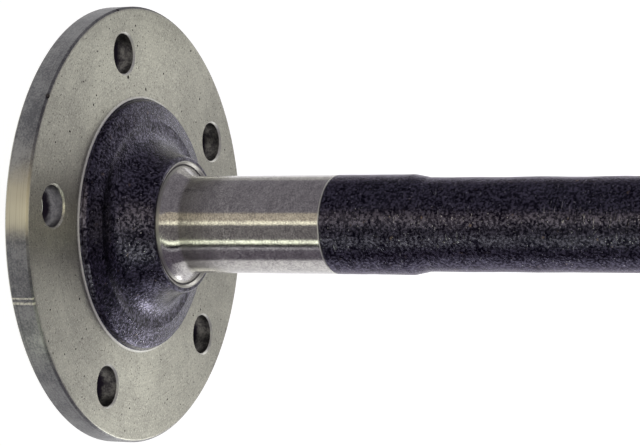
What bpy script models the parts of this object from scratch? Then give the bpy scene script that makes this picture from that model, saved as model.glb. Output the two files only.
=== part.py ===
"""Flanged axle shaft of a car's rear axle, as a Blender model: one forging, turned, drilled and splined.

The shaft stands on the end of its wheel pilot, and +Z runs along it from the flange to the splined tip.
The origin is the centre of the pilot's end face. All sizes are in metres.
"""

import math

import bmesh
import bpy
from mathutils import Matrix

# Whole shaft
TOTAL_LENGTH = 0.760
TURNED_SIDES = 60

# Wheel pilot: the short boss that stands out of the flange's outboard face and centres the wheel
PILOT_DIAMETER = 0.0778
PILOT_HEIGHT = 0.0090
PILOT_CHAMFER = 0.0012
PILOT_ROOT_FILLET = 0.0012

# Pocket that the forging die leaves in the end of the pilot
POCKET_DIAMETER = 0.0500
POCKET_DEPTH = 0.0080
POCKET_DRAFT_DEGREES = 12
POCKET_FILLET = 0.0025

# Flange. Its rim runs outside the stud holes, with this much wall between.
STUD_EDGE_WALL = 0.00915
FLANGE_THICKNESS = 0.0095
RIM_CHAMFER = 0.0008

# Holes for the pressed-in wheel studs
STUD_COUNT = 5
STUD_CIRCLE_DIAMETER = 0.1270
STUD_HOLE_DIAMETER = 0.0147
STUD_HOLE_CHAMFER = 0.0005
STUD_HOLE_SIDES = 24
FIRST_STUD_DEGREES = -90
DRILL_OVERRUN = 0.0010

# Forged hub on the flange's inboard face, from its outer wall inwards. Heights are counted from that face.
HUB_DIAMETER = 0.0920
HUB_ROOT_FILLET = 0.0014
HUB_WALL_LEAN = 0.0006
HUB_WALL_HEIGHT = 0.0026
HUB_SHOULDER_WIDTH = 0.0010
HUB_SHOULDER_RISE = 0.0004
LEDGE_WIDTH = 0.0062
LEDGE_RISE = 0.0019
CREASE_WIDTH = 0.0018
HUB_HEIGHT = 0.0181
HUB_NECK_SLOPE_DEGREES = 76

# Bearing and seal journal, with the flare at its foot, and the ring and groove where the turning tool left the forging
JOURNAL_DIAMETER = 0.0352
JOURNAL_END = 0.0795
FLARE_WIDTH = 0.0031
FLARE_HEIGHT = 0.0067
RING_GROOVE_WIDTH = 0.0021
RING_GROOVE_FLOOR = 0.0007
RING_GROOVE_DEPTH = 0.0008
RING_LAND = 0.0015
RING_CHAMFER = 0.0006
RELIEF_DEPTH = 0.0003

# Rough collar beyond the journal, and the neck down to the shaft
COLLAR_STEP = 0.0001
COLLAR_EDGE_RADIUS = 0.0012
COLLAR_LENGTH = 0.0295
NECK_LENGTH = 0.0060
NECK_ROUNDING = 0.0015

# Shaft as forged
SHAFT_DIAMETER = 0.0332
SHAFT_DIAMETER_AT_SPLINE = 0.0310

# Spline for the differential's side gear. Between a set land and a set floor, the flanks lean about 45 degrees.
SPLINE_TEETH = 30
SPLINE_DIAMETER = 0.0328
SPLINE_DEPTH = 0.0013
SPLINE_LAND = 0.0006
SPLINE_FLOOR = 0.0003
SPLINE_LENGTH = 0.0860
SPLINE_BLANK_MARGIN = 0.0040
SPLINE_BLANK_TAPER = 0.0050
HOB_RADIUS = 0.0350
HOB_RUNOUT_STEPS = 4
HOB_CLEARANCE = 0.0002

# Clip groove and button end
BUTTON_STEP = 0.0003
BUTTON_LENGTH = 0.0120
BUTTON_CHAMFER = 0.0014
CLIP_GROOVE_WIDTH = 0.0054
CLIP_GROOVE_DEPTH = 0.0037
CLIP_GROOVE_FILLET = 0.0006

# Centre drillings that the lathe held the shaft by
CENTRE_DRILL_DIAMETER = 0.0080
CENTRE_DRILL_DEGREES = 60
CENTRE_PILOT_DIAMETER = 0.0032
CENTRE_PILOT_DEPTH = 0.0050
CENTRE_POINT_DEGREES = 118

STEEL = {"base": (0.27, 0.26, 0.25, 1.0), "metallic": 1.0, "roughness": 0.45}
SHARP_EDGE_DEGREES = 28
MERGE_DISTANCE = 0.00001

# Radii that follow from the sizes above
RIM = STUD_CIRCLE_DIAMETER / 2 + STUD_HOLE_DIAMETER / 2 + STUD_EDGE_WALL
JOURNAL = JOURNAL_DIAMETER / 2
COLLAR = JOURNAL + COLLAR_STEP
FLARE = JOURNAL + FLARE_WIDTH
RING_INSIDE = FLARE + RING_GROOVE_WIDTH
RING = RING_INSIDE + RING_LAND
SPLINE_TOP = SPLINE_DIAMETER / 2
SPLINE_BOTTOM = SPLINE_TOP - SPLINE_DEPTH
BUTTON = SPLINE_BOTTOM - BUTTON_STEP

# Heights above the pilot's end face
OUTBOARD_FACE = PILOT_HEIGHT
INBOARD_FACE = OUTBOARD_FACE + FLANGE_THICKNESS
HUB_TOP = INBOARD_FACE + HUB_HEIGHT
JOURNAL_TOP = INBOARD_FACE + JOURNAL_END
BUTTON_FOOT = TOTAL_LENGTH - BUTTON_LENGTH
SPLINE_START = BUTTON_FOOT - CLIP_GROOVE_WIDTH
SPLINE_END = SPLINE_START - SPLINE_LENGTH


def clear_scene():
    for leftover in list(bpy.data.objects):
        bpy.data.objects.remove(leftover, do_unlink=True)


def new_collection(name):
    collection = bpy.data.collections.new(name)
    bpy.context.scene.collection.children.link(collection)
    return collection


def arc(centre, radius, start, end, steps):
    """Points on a circle about centre, from the angle start to the angle end, both in degrees."""
    points = []
    for step in range(steps + 1):
        angle = math.radians(start + (end - start) * step / steps)
        points.append((centre[0] + radius * math.cos(angle), centre[1] + radius * math.sin(angle)))
    return points


def sweep(start, bend, end, steps):
    """Points on the parabola that leaves start towards bend and arrives at end from bend."""
    points = []
    for step in range(steps + 1):
        t = step / steps
        weights = ((1 - t) ** 2, 2 * t * (1 - t), t**2)
        radius, height = (sum(w * p[i] for w, p in zip(weights, (start, bend, end))) for i in (0, 1))
        points.append((radius, height))
    return points


def centre_drilling(height, into):
    """A centre with its pilot hole, from the axis out to a face at height. into is the drill's way, +1 or -1 on Z."""
    mouth, pilot = CENTRE_DRILL_DIAMETER / 2, CENTRE_PILOT_DIAMETER / 2
    cone_depth = (mouth - pilot) / math.tan(math.radians(CENTRE_DRILL_DEGREES / 2))
    point_depth = pilot / math.tan(math.radians(CENTRE_POINT_DEGREES / 2))
    pilot_end = height + into * (cone_depth + CENTRE_PILOT_DEPTH)
    return [
        (0, pilot_end + into * point_depth),
        (pilot, pilot_end),
        (pilot, height + into * cone_depth),
        (mouth, height),
    ]


def button_end():
    """The centre drilled tip, the button that holds the clip, and the groove that the clip sits in."""
    groove_floor = BUTTON - CLIP_GROOVE_DEPTH
    upper_corner = (groove_floor + CLIP_GROOVE_FILLET, BUTTON_FOOT - CLIP_GROOVE_FILLET)
    lower_corner = (groove_floor + CLIP_GROOVE_FILLET, SPLINE_START + CLIP_GROOVE_FILLET)
    return [
        *centre_drilling(TOTAL_LENGTH, into=-1),
        (BUTTON - BUTTON_CHAMFER, TOTAL_LENGTH),
        (BUTTON, TOTAL_LENGTH - BUTTON_CHAMFER),
        (BUTTON, BUTTON_FOOT),
        *arc(upper_corner, CLIP_GROOVE_FILLET, 90, 180, 2),
        *arc(lower_corner, CLIP_GROOVE_FILLET, 180, 270, 2),
    ]


def hob_runout():
    """How far along the shaft a groove takes to rise out of the blank."""
    return math.sqrt(HOB_RADIUS**2 - (HOB_RADIUS - SPLINE_DEPTH) ** 2)


def spline_blank():
    """The plain land that the spline is cut in, with its first end chamfered to below the grooves."""
    blank_end = SPLINE_END - hob_runout() - SPLINE_BLANK_MARGIN
    return [
        (BUTTON, SPLINE_START),
        (SPLINE_TOP, SPLINE_START - (SPLINE_TOP - BUTTON)),
        (SPLINE_TOP, blank_end),
        (SHAFT_DIAMETER_AT_SPLINE / 2, blank_end - SPLINE_BLANK_TAPER),
    ]


def forged_shaft():
    """The foot of the long taper, and the neck that swells out to the collar."""
    collar_end = JOURNAL_TOP + COLLAR_LENGTH
    neck_end = collar_end + NECK_LENGTH
    shaft = SHAFT_DIAMETER / 2
    middle = ((COLLAR + shaft) / 2, collar_end + NECK_LENGTH / 2)
    return [
        *sweep((shaft, neck_end), (shaft, neck_end - NECK_ROUNDING), middle, 2),
        *sweep(middle, (COLLAR, collar_end + NECK_ROUNDING), (COLLAR, collar_end), 2)[1:],
    ]


def journal():
    """The rounded edge of the collar, the grinding relief, the journal and the flare at its foot."""
    edge_reach = math.degrees(math.acos(1 - COLLAR_STEP / COLLAR_EDGE_RADIUS))
    edge_centre = (COLLAR - COLLAR_EDGE_RADIUS, JOURNAL_TOP + RELIEF_DEPTH + COLLAR_EDGE_RADIUS)
    flare_radius = (FLARE_WIDTH**2 + FLARE_HEIGHT**2) / (2 * FLARE_WIDTH)
    flare_reach = math.degrees(math.asin(FLARE_HEIGHT / flare_radius))
    flare_centre = (JOURNAL + flare_radius, HUB_TOP + FLARE_HEIGHT)
    return [
        *arc(edge_centre, COLLAR_EDGE_RADIUS, 0, -edge_reach, 2),
        (JOURNAL - RELIEF_DEPTH, JOURNAL_TOP),
        (JOURNAL, JOURNAL_TOP - RELIEF_DEPTH),
        *arc(flare_centre, flare_radius, 180, 180 + flare_reach, 6),
    ]


def forged_hub():
    """The groove and its ring, the forged sweep below, the crease, and the wall where the facing cut stopped."""
    groove_slope = (RING_GROOVE_WIDTH - RING_GROOVE_FLOOR) / 2
    groove_floor = HUB_TOP - RING_GROOVE_DEPTH
    wall = HUB_DIAMETER / 2
    wall_top = (wall - HUB_WALL_LEAN, INBOARD_FACE + HUB_WALL_HEIGHT)
    shoulder = (wall_top[0] - HUB_SHOULDER_WIDTH, wall_top[1] + HUB_SHOULDER_RISE)
    crease = (shoulder[0] - LEDGE_WIDTH, shoulder[1] + LEDGE_RISE)
    valley = (crease[0] - CREASE_WIDTH, crease[1])
    neck = (RING + RING_CHAMFER, HUB_TOP - RING_CHAMFER)
    bend = (neck[0] + (neck[1] - valley[1]) / math.tan(math.radians(HUB_NECK_SLOPE_DEGREES)), valley[1])
    root_centre = (wall + HUB_ROOT_FILLET, INBOARD_FACE + HUB_ROOT_FILLET)
    return [
        (FLARE + groove_slope, groove_floor),
        (RING_INSIDE - groove_slope, groove_floor),
        (RING_INSIDE, HUB_TOP),
        (RING, HUB_TOP),
        *sweep(neck, bend, valley, 7),
        crease,
        shoulder,
        wall_top,
        *arc(root_centre, HUB_ROOT_FILLET, 180, 270, 3),
    ]


def flange_and_pilot():
    """The flange's rim, its wheel face, and the pilot with the forging's pocket in its end."""
    pilot, pocket = PILOT_DIAMETER / 2, POCKET_DIAMETER / 2
    root_centre = (pilot + PILOT_ROOT_FILLET, OUTBOARD_FACE - PILOT_ROOT_FILLET)
    draft = POCKET_DEPTH * math.tan(math.radians(POCKET_DRAFT_DEGREES))
    pocket_centre = (pocket - draft - POCKET_FILLET, POCKET_DEPTH - POCKET_FILLET)
    return [
        (RIM - RIM_CHAMFER, INBOARD_FACE),
        (RIM, INBOARD_FACE - RIM_CHAMFER),
        (RIM, OUTBOARD_FACE + RIM_CHAMFER),
        (RIM - RIM_CHAMFER, OUTBOARD_FACE),
        *arc(root_centre, PILOT_ROOT_FILLET, 90, 180, 2),
        (pilot, PILOT_CHAMFER),
        (pilot - PILOT_CHAMFER, 0),
        (pocket, 0),
        *arc(pocket_centre, POCKET_FILLET, POCKET_DRAFT_DEGREES, 90, 3),
        *reversed(centre_drilling(POCKET_DEPTH, into=1)),
    ]


def turned(name, profile, sides, collection):
    """A body of revolution about Z. The profile runs down its outer side, from the axis to the axis."""
    mesh = bpy.data.meshes.new(name)
    edges = [(index, index + 1) for index in range(len(profile) - 1)]
    mesh.from_pydata([(radius, 0, height) for radius, height in profile], edges, [])
    piece = bpy.data.objects.new(name, mesh)
    collection.objects.link(piece)
    screw = piece.modifiers.new("Turn", "SCREW")
    screw.axis = "Z"
    screw.angle = math.tau
    screw.steps = sides
    screw.render_steps = sides
    screw.use_merge_vertices = True
    screw.merge_threshold = MERGE_DISTANCE
    return piece


def make_cutter(piece):
    piece.hide_render = True
    piece.display_type = "WIRE"


def stud_drills(cutters):
    """One chamfering drill for each wheel stud, through both faces of the flange."""
    hole = STUD_HOLE_DIAMETER / 2
    mouth = hole + STUD_HOLE_CHAMFER + DRILL_OVERRUN
    profile = [
        (0, INBOARD_FACE + DRILL_OVERRUN),
        (mouth, INBOARD_FACE + DRILL_OVERRUN),
        (hole, INBOARD_FACE - STUD_HOLE_CHAMFER),
        (hole, OUTBOARD_FACE + STUD_HOLE_CHAMFER),
        (mouth, OUTBOARD_FACE - DRILL_OVERRUN),
        (0, OUTBOARD_FACE - DRILL_OVERRUN),
    ]
    for stud in range(STUD_COUNT):
        drill = turned(f"stud_drill_{stud + 1}", profile, STUD_HOLE_SIDES, cutters)
        angle = math.radians(FIRST_STUD_DEGREES) + math.tau * stud / STUD_COUNT
        drill.location.x = STUD_CIRCLE_DIAMETER / 2 * math.cos(angle)
        drill.location.y = STUD_CIRCLE_DIAMETER / 2 * math.sin(angle)
        make_cutter(drill)


def moved_corners(geometry):
    return [item for item in geometry if isinstance(item, bmesh.types.BMVert)]


def spline_hob(cutters):
    """The stock between the teeth: straight V grooves, each lifting out of the blank along the hob's own radius."""
    reach = SPLINE_DEPTH + HOB_CLEARANCE
    half_floor = SPLINE_FLOOR / 2
    half_mouth = (math.pi * SPLINE_DIAMETER / SPLINE_TEETH - SPLINE_LAND) / 2
    half_mouth += (half_mouth - half_floor) * HOB_CLEARANCE / SPLINE_DEPTH
    above_start = SPLINE_START + HOB_CLEARANCE
    bm = bmesh.new()
    section = bm.faces.new(
        [
            bm.verts.new((SPLINE_BOTTOM, -half_floor, above_start)),
            bm.verts.new((SPLINE_BOTTOM, half_floor, above_start)),
            bm.verts.new((SPLINE_BOTTOM + reach, half_mouth, above_start)),
            bm.verts.new((SPLINE_BOTTOM + reach, -half_mouth, above_start)),
        ]
    )
    straight = bmesh.ops.extrude_face_region(bm, geom=[section])["geom"]
    bmesh.ops.translate(bm, verts=moved_corners(straight), vec=(0, 0, SPLINE_END - above_start))
    straight_end = [item for item in straight if isinstance(item, bmesh.types.BMFace)]
    bmesh.ops.spin(
        bm,
        geom=straight_end,
        cent=(SPLINE_BOTTOM + HOB_RADIUS, 0, SPLINE_END),
        axis=(0, 1, 0),
        angle=-math.acos(1 - (reach + HOB_CLEARANCE) / HOB_RADIUS),
        steps=HOB_RUNOUT_STEPS,
    )
    bmesh.ops.delete(bm, geom=straight_end, context="FACES_ONLY")
    groove = bm.verts[:] + bm.edges[:] + bm.faces[:]
    for tooth in range(1, SPLINE_TEETH):
        copy = bmesh.ops.duplicate(bm, geom=groove)["geom"]
        turn = Matrix.Rotation(math.tau * tooth / SPLINE_TEETH, 3, "Z")
        bmesh.ops.rotate(bm, verts=moved_corners(copy), cent=(0, 0, 0), matrix=turn)
    bmesh.ops.recalc_face_normals(bm, faces=bm.faces)
    mesh = bpy.data.meshes.new("spline_hob")
    bm.to_mesh(mesh)
    bm.free()
    hob = bpy.data.objects.new("spline_hob", mesh)
    cutters.objects.link(hob)
    make_cutter(hob)


def forged_steel():
    material = bpy.data.materials.new("forged_steel")
    material.use_nodes = True
    shader = material.node_tree.nodes["Principled BSDF"]
    shader.inputs["Base Color"].default_value = STEEL["base"]
    shader.inputs["Metallic"].default_value = STEEL["metallic"]
    shader.inputs["Roughness"].default_value = STEEL["roughness"]
    return material


def apply_cuts(piece):
    """Makes the turned and cut shape the piece's own mesh, smooth but for its real edges."""
    bpy.context.view_layer.update()
    graph = bpy.context.evaluated_depsgraph_get()
    mesh = bpy.data.meshes.new_from_object(piece.evaluated_get(graph))
    piece.modifiers.clear()
    piece.data = mesh
    mesh.shade_smooth()
    mesh.set_sharp_from_angle(angle=math.radians(SHARP_EDGE_DEGREES))


def axle_shaft(parts, cutters):
    profile = [
        *button_end(),
        *spline_blank(),
        *forged_shaft(),
        *journal(),
        *forged_hub(),
        *flange_and_pilot(),
    ]
    shaft = turned("axle_shaft", profile, TURNED_SIDES, parts)
    cut = shaft.modifiers.new("Drill and hob", "BOOLEAN")
    cut.operation = "DIFFERENCE"
    cut.solver = "EXACT"
    cut.operand_type = "COLLECTION"
    cut.collection = cutters
    apply_cuts(shaft)
    shaft.data.materials.clear()
    shaft.data.materials.append(forged_steel())


def main():
    clear_scene()
    parts = new_collection("axle_shaft")
    cutters = new_collection("cutters")
    stud_drills(cutters)
    spline_hob(cutters)
    axle_shaft(parts, cutters)


main()
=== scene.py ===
"""Looks of a flanged axle shaft: one steel forging, turned, drilled, ground and splined, on its pilot."""

import math
import random

import bmesh
import bpy
from mathutils import Matrix, Vector, noise


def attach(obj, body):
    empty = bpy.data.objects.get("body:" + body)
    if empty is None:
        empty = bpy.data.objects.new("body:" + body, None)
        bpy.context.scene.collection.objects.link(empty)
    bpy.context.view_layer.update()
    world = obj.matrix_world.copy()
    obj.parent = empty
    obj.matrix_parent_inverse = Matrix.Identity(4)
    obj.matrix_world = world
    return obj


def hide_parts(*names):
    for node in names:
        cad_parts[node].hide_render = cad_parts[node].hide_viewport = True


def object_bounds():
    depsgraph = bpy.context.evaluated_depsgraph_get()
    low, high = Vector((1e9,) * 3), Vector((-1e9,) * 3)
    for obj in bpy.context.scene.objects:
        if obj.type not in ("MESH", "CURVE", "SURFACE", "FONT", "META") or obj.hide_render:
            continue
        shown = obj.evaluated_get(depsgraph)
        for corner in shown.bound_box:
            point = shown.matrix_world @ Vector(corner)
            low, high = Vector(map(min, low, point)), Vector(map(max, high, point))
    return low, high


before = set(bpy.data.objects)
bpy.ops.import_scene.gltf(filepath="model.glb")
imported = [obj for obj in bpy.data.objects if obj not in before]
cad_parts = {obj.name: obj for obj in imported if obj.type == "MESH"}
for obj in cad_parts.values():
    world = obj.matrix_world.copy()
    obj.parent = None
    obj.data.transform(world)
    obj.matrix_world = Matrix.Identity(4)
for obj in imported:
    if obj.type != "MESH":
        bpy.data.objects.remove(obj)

cad_low, cad_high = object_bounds()


# The wheel pilot: the boss on the outboard face that centres the wheel, with the pocket that the forging die
# left in its end. The shaft is turned between centres, so all of it is one skin of bands, each an outline of
# radius and height spun about Z. It stands on this boss.
MM = 0.001
SPUN_SIDES = 180
QUARTER_TURN = 0.25
OUTBOARD_FACE = 9.0 * MM
PILOT = 38.9 * MM
PILOT_EDGE = 1.2 * MM
PILOT_ROOT = 1.2 * MM
POCKET = 25.0 * MM
POCKET_DEPTH = 8.0 * MM
POCKET_FLOOR = 23.3 * MM
POCKET_CORNER = 2.5 * MM
POCKET_STEP = 3.0 * MM
POCKET_EDGE = 0.4 * MM
BROKEN_EDGE = 0.2 * MM
FACED_FROM = PILOT + 5.0 * MM
CENTRE = 4.0 * MM
CENTRE_PILOT = 1.6 * MM
CENTRE_CONE_DEPTH = 4.16 * MM
CENTRE_PILOT_DEPTH = 5.0 * MM
CENTRE_POINT_DEPTH = 0.96 * MM
SCALE_BLACK = (0.004, 0.003, 0.009, 1)
SCALE_BLUE = (0.130, 0.122, 0.168, 1)
SCALE_BROWN = (0.13, 0.10, 0.085, 1)
SCALE_GLINT_AND_SCAR = (0.55, 0.55, 0.58, 1)
MACHINED_GREY = (0.40, 0.395, 0.36, 1)
MACHINED_DARK = (0.24, 0.23, 0.22, 1)

skin = bmesh.new()
finishes = []


def rounded(corners, steps=4):
    """The outline through corners of (radius, height, rounding), with an arc at each rounded corner."""
    points = []
    for index, (radius, height, rounding) in enumerate(corners):
        corner = Vector((radius, height))
        if not rounding:
            points.append(corner)
            continue
        back = (Vector(corners[index - 1][:2]) - corner).normalized()
        ahead = (Vector(corners[index + 1][:2]) - corner).normalized()
        half = back.angle(ahead) / 2
        centre = corner + (back + ahead).normalized() * rounding / math.sin(half)
        first = corner + back * rounding / math.tan(half) - centre
        last = corner + ahead * rounding / math.tan(half) - centre
        turn = -first.angle_signed(last)
        points += [centre + Matrix.Rotation(turn * step / steps, 2) @ first for step in range(steps + 1)]
    return points


def spaced(outline, step):
    """The same outline with points added, so that no stretch of it is longer than step."""
    points = [outline[0]]
    for here in outline[1:]:
        there = points[-1]
        pieces = max(1, math.ceil((here - there).length / step))
        points += [there.lerp(here, piece / pieces) for piece in range(1, pieces + 1)]
    return points


def spin_line(shape, points, steps, angle=math.tau):
    """Draws a line through points and spins it about the axis, once round unless angle says otherwise."""
    corners = [shape.verts.new(point) for point in points]
    line = [shape.edges.new(pair) for pair in zip(corners, corners[1:])]
    bmesh.ops.spin(
        shape, geom=corners + line, cent=(0, 0, 0), axis=(0, 0, 1),
        angle=angle, steps=steps, use_merge=angle == math.tau,
    )


def band(outline, finish):
    """Spins an outline about the shaft's axis as one more band of the skin, in its own finish."""
    if finish not in finishes:
        finishes.append(finish)
    known = set(skin.faces)
    spin_line(skin, [(radius, 0, height) for radius, height in outline], SPUN_SIDES)
    for face in set(skin.faces) - known:
        face.material_index = finishes.index(finish)


class Value:
    """One output of a node. Arithmetic on it adds Math nodes to the nodes that own it."""

    def __init__(self, owner, socket):
        self.owner = owner
        self.socket = socket

    def maths(self, operation, *values):
        return self.owner.node("Math", {"operation": operation}, dict(enumerate(values)))

    def __add__(self, other):
        return self.maths("ADD", self, other)

    def __sub__(self, other):
        return self.maths("SUBTRACT", self, other)

    def __mul__(self, other):
        return self.maths("MULTIPLY", self, other)

    def __truediv__(self, other):
        return self.maths("DIVIDE", self, other)

    def __pow__(self, other):
        return self.maths("POWER", self, other)

    def __radd__(self, other):
        return self.maths("ADD", other, self)

    def __rsub__(self, other):
        return self.maths("SUBTRACT", other, self)

    def __rmul__(self, other):
        return self.maths("MULTIPLY", other, self)

    def between(self, low, high):
        """0 where the value is at low or under, 1 at high or over, and a soft step from one to the other."""
        ends = {"Value": self, "From Min": low, "From Max": high}
        return self.owner.node("MapRange", {"interpolation_type": "SMOOTHSTEP"}, ends)


class Nodes:
    """The nodes of one material or world, with one method that makes any of them."""

    def __init__(self, owner):
        owner.use_nodes = True
        self.tree = owner.node_tree

    def node(self, kind, settings=None, values=None, output=0):
        made = self.tree.nodes.new("ShaderNode" + kind)
        for setting, value in (settings or {}).items():
            setattr(made, setting, value)
        for socket, value in (values or {}).items():
            self.feed(made.inputs[socket], value)
        return Value(self, made.outputs[output])

    def feed(self, socket, value):
        if isinstance(value, Value):
            self.tree.links.new(value.socket, socket)
        else:
            socket.default_value = value

    def blend(self, factor, first, second):
        """A colour that goes from first to second as factor goes from 0 to 1."""
        factor_in, first_in, second_in, colour_out = 0, 6, 7, 2
        values = {factor_in: factor, first_in: first, second_in: second}
        return self.node("Mix", {"data_type": "RGBA"}, values, colour_out)


class Finish(Nodes):
    """A material of one shader. Its grain is how much wider it flashes across the tool's rings than along."""

    def __init__(self, name, metallic, roughness, grain=0.0):
        self.material = bpy.data.materials.new(name)
        super().__init__(self.material)
        self.shader = self.tree.nodes["Principled BSDF"]
        self.wear("Metallic", metallic)
        self.wear("Roughness", roughness)
        self.wear("Anisotropic", grain)
        self.wear("Anisotropic Rotation", QUARTER_TURN)

    def wear(self, socket, value):
        self.feed(self.shader.inputs[socket], value)

    def place(self):
        return self.node("TexCoord", output="Object")

    def speckle(self, size, detail=2, place=None):
        """Noise from 0 to 1 whose blotches are about size across."""
        values = {"Vector": place or self.place(), "Scale": 1 / size, "Detail": detail, "Roughness": 0.6}
        return self.node("TexNoise", {}, values)

    def apart(self):
        """The place as its three numbers."""
        place = self.place()
        return [self.node("SeparateXYZ", {}, {"Vector": place}, axis) for axis in range(3)]

    def lathe(self, around, along):
        """A place that runs slowly round the axis and fast across the cut, for marks that the tool left."""
        x, y, z = self.apart()
        radius = (x * x + y * y) ** 0.5
        values = {"X": x / radius * around, "Y": y / radius * around, "Z": (radius + z) / along}
        return self.node("CombineXYZ", {}, values)

    def bump(self, height, distance):
        self.wear("Normal", self.node("Bump", {}, {"Height": height, "Strength": 1.0, "Distance": distance}))


def forged(name, roughness, light, scars=0.0):
    """Furnace scale with a dull shine: blotched black and blue, brown where thin, with bright specks that are
    painted glints.
    """
    finish = Finish(name, metallic=1.0, roughness=roughness)
    blotch = finish.speckle(4.0 * MM, detail=5).between(0.36, 0.66)
    fleck = finish.speckle(0.95 * MM, detail=3).between(0.43, 0.62)
    thin = finish.speckle(2.6 * MM, detail=4).between(0.64, 0.76)
    grain = finish.speckle(0.50 * MM, detail=2)
    spark = finish.speckle(0.65 * MM, detail=1).between(0.68, 0.77)
    scar = finish.speckle(1.0, detail=2, place=finish.lathe(4.5, 0.8 * MM)).between(0.60, 0.74)
    battered = finish.speckle(40 * MM, detail=1).between(0.42, 0.58)
    colour = finish.blend(0.76 * fleck + 0.24 * blotch, SCALE_BLACK, light)
    colour = finish.blend(thin, colour, SCALE_BROWN)
    # The bright specks are painted glints. The scars on the bar are real lighter marks.
    glints_and_scars = 0.6 * spark + scars * scar * battered
    finish.wear("Base Color", finish.blend(glints_and_scars.between(0, 1), colour, SCALE_GLINT_AND_SCAR))
    finish.wear("Roughness", roughness + 0.13 * grain)
    finish.bump(grain + 0.8 * finish.speckle(1.6 * MM), 0.10 * MM)
    return finish


def machined(name, around, along, roughness):
    """Steel as the turning tool left it, with rings about the axis."""
    finish = Finish(name, metallic=1.0, roughness=roughness, grain=0.6)
    rings = finish.speckle(1.0, detail=3, place=finish.lathe(around, along))
    dust = finish.speckle(1.1 * MM, detail=3)
    finish.wear("Base Color", finish.blend(0.6 * rings + 0.4 * dust, MACHINED_DARK, MACHINED_GREY))
    finish.wear("Roughness", roughness + 0.12 * dust)
    finish.bump(rings, 0.03 * MM)
    return finish


scale = forged("furnace_scale", roughness=0.18, light=SCALE_BLUE)
turned = machined("turned_steel", around=1.4, along=0.35 * MM, roughness=0.34)

pocket_top = POCKET_DEPTH + CENTRE_CONE_DEPTH + CENTRE_PILOT_DEPTH
band(
    rounded([
        (0, pocket_top + CENTRE_POINT_DEPTH, 0),
        (CENTRE_PILOT, pocket_top, 0),
        (CENTRE_PILOT, POCKET_DEPTH + CENTRE_CONE_DEPTH, 0),
        (CENTRE, POCKET_DEPTH, 0),
    ]),
    turned,
)
band(
    spaced(rounded([
        (CENTRE, POCKET_DEPTH, 0),
        (POCKET_FLOOR, POCKET_DEPTH, POCKET_CORNER),
        (POCKET, POCKET_EDGE, 0),
        (POCKET + POCKET_EDGE, 0, 0),
    ]), POCKET_STEP),
    scale,
)
band(
    rounded([
        (POCKET + POCKET_EDGE, 0, 0),
        (PILOT - PILOT_EDGE, 0, BROKEN_EDGE),
        (PILOT, PILOT_EDGE, BROKEN_EDGE),
        (PILOT, OUTBOARD_FACE, PILOT_ROOT),
        (FACED_FROM, OUTBOARD_FACE, 0),
    ]),
    turned,
)


# The flange: a round disc forged in one with the shaft. The lathe has faced it on both sides and turned its
# rim, so fine rings run about the axis and the face flashes in two fans, as any turned disc does.
INBOARD_FACE = 18.5 * MM
RIM = cad_high.x
RIM_EDGE = 0.8 * MM
HUB = 46.0 * MM
HUB_ROOT = 1.4 * MM
HUB_FOOT_TOP = INBOARD_FACE + HUB_ROOT + 0.1 * MM
FACED_STEPS = 4
EDGE_STEP = 0.1 * MM
EDGE_ROUND = 0.15 * MM
FLAT_EDGE = 0.6 * MM
FACE_LIGHT = (0.53, 0.53, 0.45, 1)
FACE_GREY = (0.34, 0.335, 0.29, 1)
FACE_PIT = (0.05, 0.045, 0.04, 1)
FACE_SPARK = (0.80, 0.80, 0.74, 1)
# The rim's cream is a painted reflection on the side that faces the camera.
RIM_PAINTED_SHEEN = (0.40, 0.37, 0.29, 1)
RIM_GREY = (0.12, 0.12, 0.125, 1)
RIM_WORN = (0.25, 0.25, 0.245, 1)
PAINTED_SHEEN_SIDE = math.radians(-84.25)
PAINTED_SHEEN_FROM = (-6, 1)
PAINTED_SHEEN_TO = (7, 18)
# Each painted highlight line across the rim is (degrees, width in degrees), counted as round_rim counts.
RIM_PAINTED_GLINTS = ((-18.5, 0.30), (-19.8, 0.42))
RIM_GLINT_COLOUR = (0.62, 0.60, 0.50, 1)
# The edges' pale colours are a painted highlight.
EDGE_HIGHLIGHT_DIM = (0.50, 0.50, 0.45, 1)
EDGE_HIGHLIGHT_BRIGHT = (0.85, 0.85, 0.76, 1)


def faced_steel():
    """Faced steel that has been handled and stored: dull rings, dark pores and a few bright scratches."""
    finish = Finish("faced_steel", metallic=1.0, roughness=0.4, grain=0.6)
    rings = finish.speckle(1.0, detail=3, place=finish.lathe(1.2, 0.45 * MM))
    cloud = finish.speckle(12 * MM, detail=3).between(0.30, 0.70)
    grit = finish.speckle(0.55 * MM, detail=3)
    pore = finish.speckle(0.70 * MM, detail=1).between(0.66, 0.72)
    spark = finish.speckle(0.55 * MM, detail=1).between(0.66, 0.76)
    tone = (0.66 * grit + 0.24 * rings + 0.10 * cloud).between(0.36, 0.64)
    colour = finish.blend(tone, FACE_GREY, FACE_LIGHT)
    colour = finish.blend(0.75 * pore, colour, FACE_PIT)
    finish.wear("Base Color", finish.blend(0.5 * spark, colour, FACE_SPARK))
    finish.wear("Roughness", 0.31 + 0.12 * grit)
    finish.bump(0.4 * rings + grit - 1.5 * pore, 0.05 * MM)
    return finish


def round_rim(finish):
    """Degrees round the axis, clockwise from above, from the side that faces the camera, where the rim's
    painted reflection lies.
    """
    x, y, z = finish.apart()
    ahead = x * math.cos(PAINTED_SHEEN_SIDE) + y * math.sin(PAINTED_SHEEN_SIDE)
    across = x * math.sin(PAINTED_SHEEN_SIDE) - y * math.cos(PAINTED_SHEEN_SIDE)
    return across.maths("ARCTAN2", across, ahead) * math.degrees(1)


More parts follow.
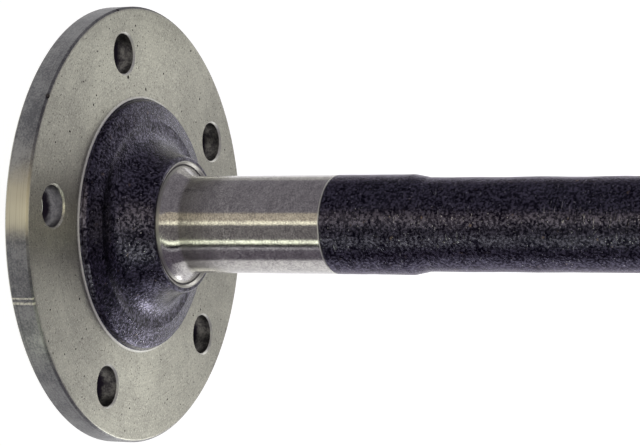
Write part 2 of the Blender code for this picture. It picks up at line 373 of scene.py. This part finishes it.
def rim_steel():
    """The turned rim: grey stain, a painted cream reflection on the side that faces the camera, and two thin
    painted highlights across it.
    """
    finish = Finish("rim_steel", metallic=1.0, roughness=0.42, grain=0.5)
    rings = finish.speckle(1.0, detail=3, place=finish.lathe(1.0, 0.5 * MM))
    stain = finish.speckle(9 * MM, detail=4)
    grit = finish.speckle(0.7 * MM, detail=2)
    degrees = round_rim(finish)
    turn = degrees + 8 * (stain - 0.5)
    # Painted reflection: cream over the stretch of rim that faces the camera, its ends wavering with the
    # stain.
    painted_sheen = turn.between(*PAINTED_SHEEN_FROM) * (1 - turn.between(*PAINTED_SHEEN_TO))
    colour = finish.blend((0.5 * stain + 0.5 * grit).between(0.38, 0.62), RIM_GREY, RIM_WORN)
    colour = finish.blend(0.92 * painted_sheen, colour, RIM_PAINTED_SHEEN)
    # Painted highlights: two thin light lines across the rim.
    for place, width in RIM_PAINTED_GLINTS:
        painted_glint = 1 - ((degrees - place) ** 2).between(0, width**2)
        colour = finish.blend(painted_glint * grit.between(0.3, 0.5), colour, RIM_GLINT_COLOUR)
    colour = finish.blend(0.5 * rings.between(0.52, 0.75), colour, FACE_PIT)
    finish.wear("Base Color", colour)
    finish.wear("Roughness", 0.36 + 0.16 * grit)
    finish.bump(rings + 0.5 * grit, 0.05 * MM)
    return finish


def edge_steel():
    """The broken edges and the hub's foot, painted pale as a highlight that shows all the way round."""
    finish = Finish("highlight_edge", metallic=0.35, roughness=0.45)
    grit = finish.speckle(0.8 * MM, detail=2)
    finish.wear("Base Color", finish.blend(grit, EDGE_HIGHLIGHT_DIM, EDGE_HIGHLIGHT_BRIGHT))
    return finish


faced = faced_steel()
rim = rim_steel()
highlight_edge = edge_steel()
hub_root = rounded([
    (HUB + HUB_ROOT + FLAT_EDGE, INBOARD_FACE, 0),
    (HUB, INBOARD_FACE, HUB_ROOT),
    (HUB, HUB_FOOT_TOP, 0),
], steps=8)[1:]

band(
    rounded([
        (FACED_FROM, OUTBOARD_FACE, 0),
        (RIM - RIM_EDGE, OUTBOARD_FACE, EDGE_ROUND),
        (RIM, OUTBOARD_FACE + RIM_EDGE, 0),
    ], steps=2),
    faced,
)
band(
    rounded([
        (RIM, OUTBOARD_FACE + RIM_EDGE, 0),
        (RIM, INBOARD_FACE - RIM_EDGE, 0),
        (RIM - RIM_EDGE + EDGE_STEP, INBOARD_FACE - EDGE_STEP, 0),
    ]),
    rim,
)
band(
    rounded([
        (RIM - RIM_EDGE + EDGE_STEP, INBOARD_FACE - EDGE_STEP, 0),
        (RIM - RIM_EDGE - EDGE_STEP, INBOARD_FACE, 0),
        (RIM - RIM_EDGE - FLAT_EDGE, INBOARD_FACE, 0),
        (HUB + HUB_ROOT + FLAT_EDGE, INBOARD_FACE, 0),
    ]) + hub_root[:2],
    faced,
)
band(hub_root[1:FACED_STEPS + 1], highlight_edge)


# The hub: the forging's thick root. Only its foot and the ring at its top were turned. Between them the skin
# is as the hammer left it, with scale, a crease where the dies met and a long sweep up to the journal.
HUB_WALL_TOP = INBOARD_FACE + 2.6 * MM
HUB_TOP = INBOARD_FACE + 18.1 * MM
HUB_DRAFT = 0.6 * MM
HUB_STEP = 0.8 * MM
SHOULDER = 44.4 * MM
SHOULDER_RISE = 0.4 * MM
WALL_ROUND = 0.4 * MM
SHOULDER_ROUND = 0.5 * MM
CREASE_ROUND = 0.3 * MM
SWEEP_STEPS = 24
CREASE = 38.2 * MM
VALLEY = 36.4 * MM
LEDGE_TOP = INBOARD_FACE + 4.9 * MM
RING_EDGE = 0.6 * MM
NECK_SLOPE = math.radians(76)
JOURNAL = 17.6 * MM
FLARE = JOURNAL + 3.1 * MM
RING_GROOVE = 2.1 * MM
RING_LAND = 1.5 * MM
RING = FLARE + RING_GROOVE + RING_LAND

neck = Vector((RING + RING_EDGE, HUB_TOP - RING_EDGE))
bend = Vector((neck.x + (neck.y - LEDGE_TOP) / math.tan(NECK_SLOPE), LEDGE_TOP))
valley = Vector((VALLEY, LEDGE_TOP))
sweep_places = [step / SWEEP_STEPS for step in range(SWEEP_STEPS + 1)]
sweep_up = [valley.lerp(bend, t).lerp(bend.lerp(neck, t), t) for t in sweep_places]

band(
    hub_root[FACED_STEPS:] + spaced(rounded([
        (HUB, HUB_FOOT_TOP, 0),
        (HUB - HUB_DRAFT, HUB_WALL_TOP, WALL_ROUND),
        (SHOULDER, HUB_WALL_TOP + SHOULDER_RISE, SHOULDER_ROUND),
        (CREASE, LEDGE_TOP, CREASE_ROUND),
        (VALLEY, LEDGE_TOP, 0),
    ]), HUB_STEP)[1:] + sweep_up[1:],
    scale,
)


# The journal: ground bright for the bearing and the seal. It flares where it meets the forging, inside a
# shallow groove that the tool cut in the hub's top. A fine relief ends the ground length.
JOURNAL_TOP = INBOARD_FACE + 79.5 * MM
FLARE_HEIGHT = 6.7 * MM
GROOVE_FLOOR = 0.7 * MM
LAND_LIT = 0.4 * MM
GROOVE_DEPTH = 0.8 * MM
RELIEF = 0.3 * MM
GROUND_LIGHT = (0.60, 0.585, 0.555, 1)
GROUND_DARK = (0.235, 0.22, 0.225, 1)
GROUND_STAIN = (0.12, 0.10, 0.09, 1)
# The groove's floor, the pits and the nicks are painted near-black: dirt, and painted shade in the recesses.
RECESS_SHADE_BLACK = (0.02, 0.018, 0.022, 1)
RECESS_SHADE_GREY = (0.12, 0.11, 0.11, 1)
FLARE_STEPS = 14


def ground_steel():
    """Ground steel, with the wheel's fine lines about the axis and a few fingermarks."""
    finish = Finish("ground_steel", metallic=1.0, roughness=0.22, grain=0.9)
    lines = finish.speckle(1.0, detail=4, place=finish.lathe(2.0, 0.3 * MM))
    grit = finish.speckle(0.6 * MM, detail=2)
    stain = finish.speckle(0.7 * MM, detail=1).between(0.70, 0.80)
    film = finish.speckle(3.5 * MM, detail=4)
    tone = (0.2 * lines + 0.5 * grit + 0.3 * film).between(0.30, 0.70)
    colour = finish.blend(tone, GROUND_DARK, GROUND_LIGHT)
    finish.wear("Base Color", finish.blend(0.6 * stain, colour, GROUND_STAIN))
    finish.wear("Roughness", 0.14 + 0.07 * grit)
    finish.bump(lines + grit, 0.012 * MM)
    return finish


def dark_recess_steel():
    """Near-black steel for the floor of the ring's groove and for the pits: dirt, with painted shade for the
    dark of the recesses.
    """
    finish = Finish("groove_dirt_and_shade", metallic=1.0, roughness=0.5)
    grit = finish.speckle(0.5 * MM, detail=2)
    finish.wear("Base Color", finish.blend(grit, RECESS_SHADE_BLACK, RECESS_SHADE_GREY))
    return finish


ground = ground_steel()
dark_recess = dark_recess_steel()
groove_slope = (RING_GROOVE - GROOVE_FLOOR) / 2
flare_radius = ((FLARE - JOURNAL) ** 2 + FLARE_HEIGHT**2) / (2 * (FLARE - JOURNAL))
flare_reach = math.asin(FLARE_HEIGHT / flare_radius)
flare = [
    Vector((
        JOURNAL + flare_radius * (1 - math.cos(flare_reach * step / FLARE_STEPS)),
        HUB_TOP + FLARE_HEIGHT - flare_radius * math.sin(flare_reach * step / FLARE_STEPS),
    ))
    for step in range(FLARE_STEPS, -1, -1)
]

groove = rounded([
    (FLARE + RING_GROOVE, HUB_TOP, 0),
    (FLARE + RING_GROOVE - groove_slope, HUB_TOP - GROOVE_DEPTH, BROKEN_EDGE),
    (FLARE + groove_slope, HUB_TOP - GROOVE_DEPTH, BROKEN_EDGE),
    (FLARE, HUB_TOP, 0),
], steps=2)
band(
    rounded([
        (neck.x, neck.y, 0),
        (RING, HUB_TOP, BROKEN_EDGE),
        (FLARE + RING_GROOVE + LAND_LIT, HUB_TOP, 0),
    ]),
    scale,
)
band([(FLARE + RING_GROOVE + LAND_LIT, HUB_TOP)] + groove[:3], turned)
band(groove[2:6], dark_recess)
band(groove[5:], turned)
band(
    flare + rounded([
        (JOURNAL, HUB_TOP + FLARE_HEIGHT, 0),
        (JOURNAL, JOURNAL_TOP - RELIEF, 0),
    ])[1:],
    ground,
)
band([(JOURNAL, JOURNAL_TOP - RELIEF), (JOURNAL - RELIEF, JOURNAL_TOP)], highlight_edge)


# The collar and the shaft: left as forged, so they are a little out of round and black with scale. The collar
# is a shade thicker than the journal. A short neck takes it down to the shaft, which tapers to the spline.
COLLAR = JOURNAL + 0.1 * MM
COLLAR_EDGE = 0.4 * MM
COLLAR_END = JOURNAL_TOP + 29.5 * MM
NECK_END = COLLAR_END + 6.0 * MM
NECK_ROUND = 4.0 * MM
TAPER_TO_BLANK = 5.0 * MM
BAR_STEP = 2.6 * MM
SHAFT = 16.6 * MM
SHAFT_AT_SPLINE = 15.5 * MM
TIP = cad_high.z
BUTTON_FOOT = TIP - 12.0 * MM
SPLINE_START = BUTTON_FOOT - 5.4 * MM
SPLINE_END = SPLINE_START - 86.0 * MM
SPLINE_TOP = 16.4 * MM
SPLINE_DEPTH = 1.3 * MM
HOB_RADIUS = 35.0 * MM
PLAIN_BLANK = 4.0 * MM
BAR_BLUE = (0.108, 0.101, 0.143, 1)
BAR_EDGE = (0.75, 0.73, 0.78, 1)
runout = math.sqrt(HOB_RADIUS**2 - (HOB_RADIUS - SPLINE_DEPTH) ** 2)
blank_end = SPLINE_END - runout - PLAIN_BLANK

bar_scale = forged("bar_scale", roughness=0.16, light=BAR_BLUE, scars=0.36)
bar_scale.wear("Specular Tint", BAR_EDGE)
band(
    spaced(rounded([
        (JOURNAL - RELIEF, JOURNAL_TOP, 0),
        (COLLAR, JOURNAL_TOP + COLLAR_EDGE, BROKEN_EDGE),
        (COLLAR, COLLAR_END, NECK_ROUND),
        (SHAFT, NECK_END, NECK_ROUND),
        (SHAFT_AT_SPLINE, blank_end - TAPER_TO_BLANK, 0),
        (SPLINE_TOP, blank_end, 0),
    ]), BAR_STEP),
    bar_scale,
)


# The spline: thirty teeth that a hob cut straight along the bar. Each groove climbs out of the bar along the
# hob's own curve. Past the teeth come the groove for the clip and the button end, turned bright.
TEETH = 30
TOOTH_LAND = 0.6 * MM
TOOTH_FLOOR = 0.3 * MM
BUTTON_CLEARANCE = 0.3 * MM
BUTTON = SPLINE_TOP - SPLINE_DEPTH - BUTTON_CLEARANCE
BUTTON_EDGE = 1.4 * MM
BUTTON_ROUND = 0.3 * MM
TEETH_START = SPLINE_START - (SPLINE_TOP - BUTTON)
FIRST_RING = SPLINE_START - 4.0 * MM
CLIP_GROOVE = BUTTON - 3.7 * MM
CLIP_CORNER = 0.6 * MM
HOB_STEPS = 16
COLUMNS = SPUN_SIDES // TEETH
TOUCHING = 0.0001 * MM
TOLERANCE = 0.01 * MM
pitch = math.tau / TEETH
mouth = (SPLINE_TOP * pitch - TOOTH_LAND) / 2

hobbed = machined("hobbed_steel", around=1.4, along=0.5 * MM, roughness=0.36)
straight = [TEETH_START, FIRST_RING, SPLINE_END]
lift = [SPLINE_END - runout * step / HOB_STEPS for step in range(1, HOB_STEPS + 1)]
band(
    [Vector((BUTTON, SPLINE_START))]
    + [Vector((SPLINE_TOP, height)) for height in straight + lift + [blank_end]],
    hobbed,
)
band(
    rounded([
        (BUTTON, SPLINE_START, 0),
        (CLIP_GROOVE, SPLINE_START, CLIP_CORNER),
        (CLIP_GROOVE, BUTTON_FOOT, CLIP_CORNER),
        (BUTTON, BUTTON_FOOT, EDGE_ROUND),
        (BUTTON, TIP - BUTTON_EDGE, BUTTON_ROUND),
        (BUTTON - BUTTON_EDGE, TIP, BROKEN_EDGE),
        (CENTRE, TIP, 0),
        (CENTRE_PILOT, TIP - CENTRE_CONE_DEPTH, 0),
        (CENTRE_PILOT, TIP - CENTRE_CONE_DEPTH - CENTRE_PILOT_DEPTH, 0),
        (0, TIP - CENTRE_CONE_DEPTH - CENTRE_PILOT_DEPTH - CENTRE_POINT_DEPTH, 0),
    ]),
    turned,
)
bmesh.ops.remove_doubles(skin, verts=skin.verts, dist=TOUCHING)
bmesh.ops.recalc_face_normals(skin, faces=skin.faces)


def hob_depth(height):
    """How deep the grooves are at a height: full along the teeth, then less and less to nothing."""
    past = max(0, SPLINE_END - height)
    return SPLINE_DEPTH - HOB_RADIUS + math.sqrt(HOB_RADIUS**2 - past**2)


def hob_teeth(corner):
    """Moves one corner of the plain blank onto the flank, land or floor of its tooth."""
    depth = hob_depth(corner.co.z)
    radius = math.hypot(corner.co.x, corner.co.y)
    cut = radius - (SPLINE_TOP - depth)
    if cut <= TOLERANCE:
        return
    column = round(math.atan2(corner.co.y, corner.co.x) / math.tau * SPUN_SIDES) % SPUN_SIDES
    tooth, place = divmod(column, COLUMNS)
    half_mouth = TOOTH_FLOOR / 2 + (mouth - TOOTH_FLOOR / 2) * cut / SPLINE_DEPTH
    land = pitch / 2 - half_mouth / radius
    floor_edge = pitch / 2 - TOOTH_FLOOR / 2 / radius
    flank = (land + floor_edge) / 2
    turn = (-land, land, flank, floor_edge, pitch - floor_edge, pitch - flank)[place]
    sink = (0, 0, cut / 2, cut, cut, cut / 2)[place]
    angle = (tooth + 0.5 / COLUMNS) * pitch + turn
    corner.co.x = (radius - sink) * math.cos(angle)
    corner.co.y = (radius - sink) * math.sin(angle)


for corner in skin.verts:
    if blank_end < corner.co.z < SPLINE_START + TOLERANCE and corner.co.xy.length > BUTTON - TOLERANCE:
        hob_teeth(corner)


# The forging's own skin is never quite true. The hammer leaves broad shallow dents, most of them inwards, and
# the scale lifts it in spots.
HAMMER_DENTS = ((14.0 * MM, 0.16 * MM), (5.0 * MM, 0.05 * MM), (2.2 * MM, 0.03 * MM))
INWARDS = 0.3

skin.normal_update()
scaled = {finishes.index(scale), finishes.index(bar_scale)}
forged_corners = [
    corner for corner in skin.verts
    if {face.material_index for face in corner.link_faces} <= scaled
]
moves = [
    corner.normal * sum(size * (noise.noise(corner.co / width) - INWARDS) for width, size in HAMMER_DENTS)
    for corner in forged_corners
]
for corner, move in zip(forged_corners, moves):
    corner.co += move


# The stud holes: five, drilled and chamfered on both faces. The pits, dents and nicks are wear from storage,
# cut into the faces with the same Boolean.
STUDS = 5
FIRST_STUD = math.radians(-90)
STUD_CIRCLE = 63.5 * MM
STUD_HOLE = 7.35 * MM
STUD_CHAMFER = 0.6 * MM
DRILL_SIDES = 64
OVERRUN = 1.0 * MM
CREASED = math.radians(32)
LEVEL = 0.9
UPRIGHT = 0.1
# Each pit is (radius in mm, degrees, size in mm) and each nick (degrees, size in mm).
PITS = (
    (54.7, 197.2, 0.8), (49.9, 183.1, 0.7), (61.4, 243.8, 0.6), (70.0, 214.0, 0.45), (66.0, 226.0, 0.4),
    (74.5, 205.0, 0.4), (57.0, 222.0, 0.4), (73.0, 190.0, 0.5), (68.0, 251.0, 0.4), (71.5, 300.0, 0.5),
    (55.0, 318.0, 0.45), (75.0, 330.0, 0.4), (62.0, 345.0, 0.5), (51.5, 296.0, 0.4), (58.5, 170.0, 0.5),
    (74.0, 166.0, 0.4), (69.0, 20.0, 0.45), (56.0, 60.0, 0.5), (73.0, 96.0, 0.4), (60.0, 130.0, 0.45),
)
PIT_COUNT = 90
PIT_SEED = 7
PIT_RADII = (49, 78)
PIT_SIZE = 0.22
PIT_SPREAD = 0.35
PIT_DEPTH = 0.7
PIT_ACROSS = (0.6, 1.0)
PIT_GAP = 0.2
HOLE_CLEARANCE = 9.0
NICK_DEPTH = 0.8
# Painted shade deep in the holes.
BORE_PAINTED_SHADE = (0.008, 0.006, 0.010, 1)
# The hole walls come as a painted-lit copy, lighter, and a painted-shaded copy, darker.
SHADED_BORE_BLACK = (0.045, 0.041, 0.043, 1)
SHADED_BORE_GREY = (0.145, 0.137, 0.126, 1)
LIT_BORE_GREY = (0.11, 0.105, 0.115, 1)
LIT_BORE_LIGHT = (0.19, 0.185, 0.19, 1)
BORE_SHADE_FADE = (12.4 * MM, 15.4 * MM)
BORE_SHADE_WAVER = 2.5 * MM
LIT_STUD = 0
NICKS = ((198.7, 1.3), (242.0, 1.5), (272.0, 0.7), (310.0, 0.8))


def drilled_steel(name, dark, light):
    """A drilled wall, mottled with oil, with painted shade that turns it black deep in the hole."""
    finish = Finish(name, metallic=1.0, roughness=0.38)
    stain = finish.speckle(3.2 * MM, detail=4)
    grit = finish.speckle(0.8 * MM, detail=2)
    colour = finish.blend((0.7 * stain + 0.3 * grit).between(0.38, 0.64), dark, light)
    # Painted shade: black deeper down in the hole, its edge wavering with the stain.
    unshaded_part = (finish.apart()[2] + BORE_SHADE_WAVER * stain).between(*BORE_SHADE_FADE)
    finish.wear("Base Color", finish.blend(unshaded_part, BORE_PAINTED_SHADE, colour))
    finish.bump(grit, 0.04 * MM)
    return finish


drilled = drilled_steel("drilled_steel", SHADED_BORE_BLACK, SHADED_BORE_GREY)
painted_lit_bore = drilled_steel("painted_lit_bore", LIT_BORE_GREY, LIT_BORE_LIGHT)
finishes += [drilled, painted_lit_bore]
drills = bmesh.new()
drill_outline = rounded([
    (0, INBOARD_FACE + OVERRUN, 0),
    (STUD_HOLE + STUD_CHAMFER + OVERRUN, INBOARD_FACE + OVERRUN, 0),
    (STUD_HOLE, INBOARD_FACE - STUD_CHAMFER, BROKEN_EDGE),
    (STUD_HOLE, OUTBOARD_FACE + STUD_CHAMFER, BROKEN_EDGE),
    (STUD_HOLE + STUD_CHAMFER + OVERRUN, OUTBOARD_FACE - OVERRUN, 0),
    (0, OUTBOARD_FACE - OVERRUN, 0),
], steps=2)
for stud in range(STUDS):
    angle = FIRST_STUD + math.tau * stud / STUDS
    known = set(drills.verts)
    spin_line(drills, [(radius, 0, height) for radius, height in drill_outline], DRILL_SIDES)
    drill = list(set(drills.verts) - known)
    drills.normal_update()
    # The hole on the camera's side wears the lighter, painted-lit wall. The rest wear the darker,
    # painted-shaded one.
    wall, mouth_edge = (painted_lit_bore, faced) if stud == LIT_STUD else (drilled, highlight_edge)
    for face in {face for corner in drill for face in corner.link_faces}:
        face.material_index = finishes.index(mouth_edge if UPRIGHT < abs(face.normal.z) < LEVEL else wall)
    place = (STUD_CIRCLE * math.cos(angle), STUD_CIRCLE * math.sin(angle), 0)
    bmesh.ops.translate(drills, verts=drill, vec=place)
bmesh.ops.remove_doubles(drills, verts=drills.verts, dist=TOUCHING)

chance = random.Random(PIT_SEED)


def gouge(radius, degrees, size):
    """A small ball of size (outward, around, down) that bites a pit out of the inboard face."""
    turn = Matrix.Rotation(math.radians(degrees), 4, "Z")
    place = turn @ Matrix.Translation((radius, 0, INBOARD_FACE)) @ Matrix.Diagonal((*size, 1))
    made = bmesh.ops.create_icosphere(drills, subdivisions=1, radius=1, matrix=place)
    for face in {face for corner in made["verts"] for face in corner.link_faces}:
        face.material_index = finishes.index(dark_recess)


def on_face(radius, degrees):
    """The place on the face, in millimetres as the pits are."""
    angle = math.radians(degrees)
    return Vector((radius * math.cos(angle), radius * math.sin(angle)))


taken = [
    (on_face(STUD_CIRCLE / MM, math.degrees(FIRST_STUD) + 360 * stud / STUDS), HOLE_CLEARANCE)
    for stud in range(STUDS)
]
taken += [(on_face(radius, degrees), size) for radius, degrees, size in PITS]
pits = list(PITS)
while len(pits) < PIT_COUNT:
    radius = chance.uniform(*PIT_RADII)
    degrees = chance.uniform(0, 360)
    size = PIT_SIZE + PIT_SPREAD * chance.random() ** 2
    spot = on_face(radius, degrees)
    if all((spot - other).length > reach + size + PIT_GAP for other, reach in taken):
        taken.append((spot, size))
        pits.append((radius, degrees, size))
for radius, degrees, size in pits:
    across = size * chance.uniform(*PIT_ACROSS)
    gouge(radius * MM, degrees, (size * MM, across * MM, PIT_DEPTH * size * MM))
for degrees, size in NICKS:
    depth = NICK_DEPTH * size * MM
    gouge(RIM, degrees, (depth, size * MM, depth))
bmesh.ops.recalc_face_normals(drills, faces=drills.faces)


def as_object(name, shape, worn):
    """Puts a shape into the scene, with the finishes that its faces count through."""
    mesh = bpy.data.meshes.new(name)
    shape.to_mesh(mesh)
    shape.free()
    for finish in worn:
        mesh.materials.append(finish.material)
    made = bpy.data.objects.new(name, mesh)
    bpy.context.scene.collection.objects.link(made)
    return made


shaft = as_object("axle_forging", skin, finishes)
cutter = as_object("stud_drills", drills, finishes)
cut = shaft.modifiers.new("drilling", "BOOLEAN")
cut.operation = "DIFFERENCE"
cut.solver = "EXACT"
cut.object = cutter
bpy.context.view_layer.update()
shaped = bpy.data.meshes.new_from_object(shaft.evaluated_get(bpy.context.evaluated_depsgraph_get()))
shaft.modifiers.clear()
shaft.data = shaped
bpy.data.objects.remove(cutter)
shaped.shade_smooth()
shaped.set_sharp_from_angle(angle=CREASED)
cut_kinds = {finishes.index(finish) for finish in (drilled, painted_lit_bore, highlight_edge, dark_recess)}
cut_edges = bmesh.new()
cut_edges.from_mesh(shaped)
for edge in cut_edges.edges:
    kinds = {face.material_index for face in edge.link_faces}
    if len(kinds) > 1 and kinds & cut_kinds:
        edge.smooth = False
cut_edges.to_mesh(shaped)
cut_edges.free()
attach(shaft, "root")
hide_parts("axle_shaft")


# The studio: a pale floor that the shaft stands on, a broad soft light low behind it, one at each side and
# one above, and a screen of upright cards round its front, white strips with grey and black between them. The
# cards show in the steel alone, so every view of the shaft stays clear of them.
CAMERA_BEARING = math.radians(5.75)
CAMERA_TILT = math.radians(25.14)
FLOOR_SIZE = 12.0
FLOOR_GLOW = 0.86
FLOOR_GREY = (0.5, 0.5, 0.5, 1)
SHADE_GREY = (0.03, 0.03, 0.03, 1)
SHADE_RING = (PILOT + 1.0 * MM, PILOT + 13.0 * MM)
SHADE_LIFT = 0.1 * MM
SHADE_SIDES = 60
CARD_RADIUS = 0.112
CARD_HEIGHT = 0.85
CARD_FOOT = 1.0 * MM
CARD_FACET = 3
# Each card is (first bearing, last bearing, brightness), as from_camera counts bearings.
CARDS = (
    (120, 138, (0.62, 0.61, 0.60)),
    (24, 120, (0.29, 0.275, 0.31)),
    (6.5, 24, (0.80, 0.72, 0.58)),
    (-0.5, 6.5, (2.0, 1.95, 1.55)),
    (-34.7, -0.5, (0.27, 0.255, 0.26)),
    (-42.2, -34.7, (2.4, 2.55, 2.05)),
    (-50.8, -42.2, (0.02, 0.02, 0.025)),
    (-56.5, -50.8, (0.68, 0.67, 0.72)),
    (-86, -56.5, (0.19, 0.17, 0.21)),
)
WARM_WHITE = (1.0, 1.0, 0.90)
away = Vector((-math.sin(CAMERA_BEARING), math.cos(CAMERA_BEARING), 0))
aside = Vector((math.cos(CAMERA_BEARING), math.sin(CAMERA_BEARING), 0))


def from_camera(bearing):
    """The level direction that lies bearing degrees from the camera's, counted towards the picture's top."""
    turn = math.radians(bearing)
    return -away * math.cos(turn) - aside * math.sin(turn)


def stand_in(name, shape, finish):
    """Puts a shape into the scene with its one finish."""
    made = as_object(name, shape, [finish])
    return made


def show(finish, shader):
    """Shows a shader in place of the finish's own."""
    finish.feed(finish.tree.nodes["Material Output"].inputs["Surface"], shader)


def from_above(finish, shader):
    """The shader on the upper side alone, so that a view from below sees past the floor."""
    underside = finish.node("NewGeometry", output="Backfacing")
    return finish.node("MixShader", {}, {0: underside, 1: shader, 2: finish.node("BsdfTransparent")})


pale = Finish("pale_floor", metallic=0.0, roughness=1.0)
rays = ("Is Camera Ray", "Is Glossy Ray", "Is Transmission Ray")
seen = sum(pale.node("LightPath", output=ray) for ray in rays)
glow = pale.node("Emission", {}, {"Color": (1, 1, 1, 1), "Strength": seen * FLOOR_GLOW})
matt = pale.node("BsdfDiffuse", {}, {"Color": FLOOR_GREY})
lit = pale.node("AddShader", {}, {0: glow, 1: matt})
show(pale, from_above(pale, lit))
floor_shape = bmesh.new()
bmesh.ops.create_grid(floor_shape, x_segments=1, y_segments=1, size=FLOOR_SIZE / 2)
stand_in("floor", floor_shape, pale)

# A dark ring under the flange keeps the white floor from shining through the nearest stud hole.
shade = Finish("flange_shade", metallic=0.0, roughness=1.0)
show(shade, from_above(shade, shade.node("BsdfDiffuse", {}, {"Color": SHADE_GREY})))
shade_shape = bmesh.new()
spin_line(shade_shape, [(radius, 0, SHADE_LIFT) for radius in SHADE_RING], SHADE_SIDES)
bmesh.ops.recalc_face_normals(shade_shape, faces=shade_shape.faces)
for face in shade_shape.faces:
    if face.normal.z < 0:
        face.normal_flip()
stand_in("flange_shade", shade_shape, shade)

for number, (first, last, tone) in enumerate(CARDS, 1):
    name = f"card_{number}"
    card_finish = Finish(name, metallic=0.0, roughness=1.0)
    show(card_finish, card_finish.node("Emission", {}, {"Color": (*tone, 1)}))
    card_shape = bmesh.new()
    foot = from_camera(first) * CARD_RADIUS
    edge = [(foot.x, foot.y, height) for height in (CARD_FOOT, CARD_HEIGHT)]
    facets = max(2, round((last - first) / CARD_FACET))
    spin_line(card_shape, edge, facets, angle=-math.radians(last - first))
    card = stand_in(name, card_shape, card_finish)
    card.visible_camera = False
    card.visible_diffuse = False
    card.visible_transmission = False
    card.visible_shadow = False


def lamp(name, bearing, distance, height, width, tall, radiance, colour=(1, 1, 1)):
    """A flat soft light that faces the shaft's foot. Its power follows from its brightness."""
    data = bpy.data.lights.new(name, "AREA")
    data.shape = "RECTANGLE"
    data.size = width
    data.size_y = tall
    data.energy = radiance * math.pi * width * tall
    data.color = colour
    made = bpy.data.objects.new(name, data)
    bpy.context.scene.collection.objects.link(made)
    stand = from_camera(bearing) * distance + Vector((0, 0, height))
    back = stand.normalized()
    across = Vector((0, 0, 1)).cross(back).normalized()
    facing = Matrix((across, back.cross(across), back)).transposed().to_4x4()
    made.matrix_world = Matrix.Translation(stand) @ facing
    made.visible_camera = False


lamp("back_light", 180, distance=0.9, height=0.50, width=2.1, tall=0.36, radiance=0.75, colour=WARM_WHITE)
lamp("top_light", 0, distance=0.5, height=1.1, width=0.55, tall=0.25, radiance=1.0)
lamp("upper_wing", 141, distance=0.9, height=0.40, width=0.42, tall=0.40, radiance=3.4)
lamp("lower_wing", -141, distance=0.9, height=0.40, width=0.42, tall=0.40, radiance=3.2)


# The room round the studio: pale walls under a darker ceiling, so that steel that faces sideways is lighter
# than steel that faces up.
WALLS = (0.95, 0.94, 0.98, 1)
CEILING = (0.13, 0.11, 0.16, 1)
WALL_TOP = (0.10, 0.62)

world = bpy.data.worlds.new("studio")
bpy.context.scene.world = world
sky = Nodes(world)
up = sky.node("SeparateXYZ", {}, {"Vector": sky.node("TexCoord", output="Generated")}, 2)
room = sky.blend(up.between(*WALL_TOP), WALLS, CEILING)
sky.feed(sky.tree.nodes["Background"].inputs["Color"], room)


# The camera stands beside the shaft and looks down on its flange, rolled so that the shaft runs to the right.
PICTURE_WIDTH = 640
SENSOR = 36.0
FOCAL_PIXELS = 2515
CAMERA_DISTANCE = 0.8104
CAMERA_HEIGHT = INBOARD_FACE + 0.4524
CAMERA_RISE = 0.00052

camera_right = math.sin(CAMERA_TILT) * away + Vector((0, 0, math.cos(CAMERA_TILT)))
camera_ahead = math.cos(CAMERA_TILT) * away - Vector((0, 0, math.sin(CAMERA_TILT)))
lens = bpy.data.cameras.new("camera")
lens.sensor_width = SENSOR
lens.lens = SENSOR * FOCAL_PIXELS / PICTURE_WIDTH
camera = bpy.data.objects.new("camera", lens)
bpy.context.scene.collection.objects.link(camera)
stand = Vector((0, 0, CAMERA_HEIGHT)) - CAMERA_DISTANCE * away - CAMERA_RISE * aside
axes = Matrix((camera_right, -aside, -camera_ahead)).transposed().to_4x4()
camera.matrix_world = Matrix.Translation(stand) @ axes
bpy.context.scene.camera = camera
bpy.context.scene.view_settings.view_transform = "Standard"
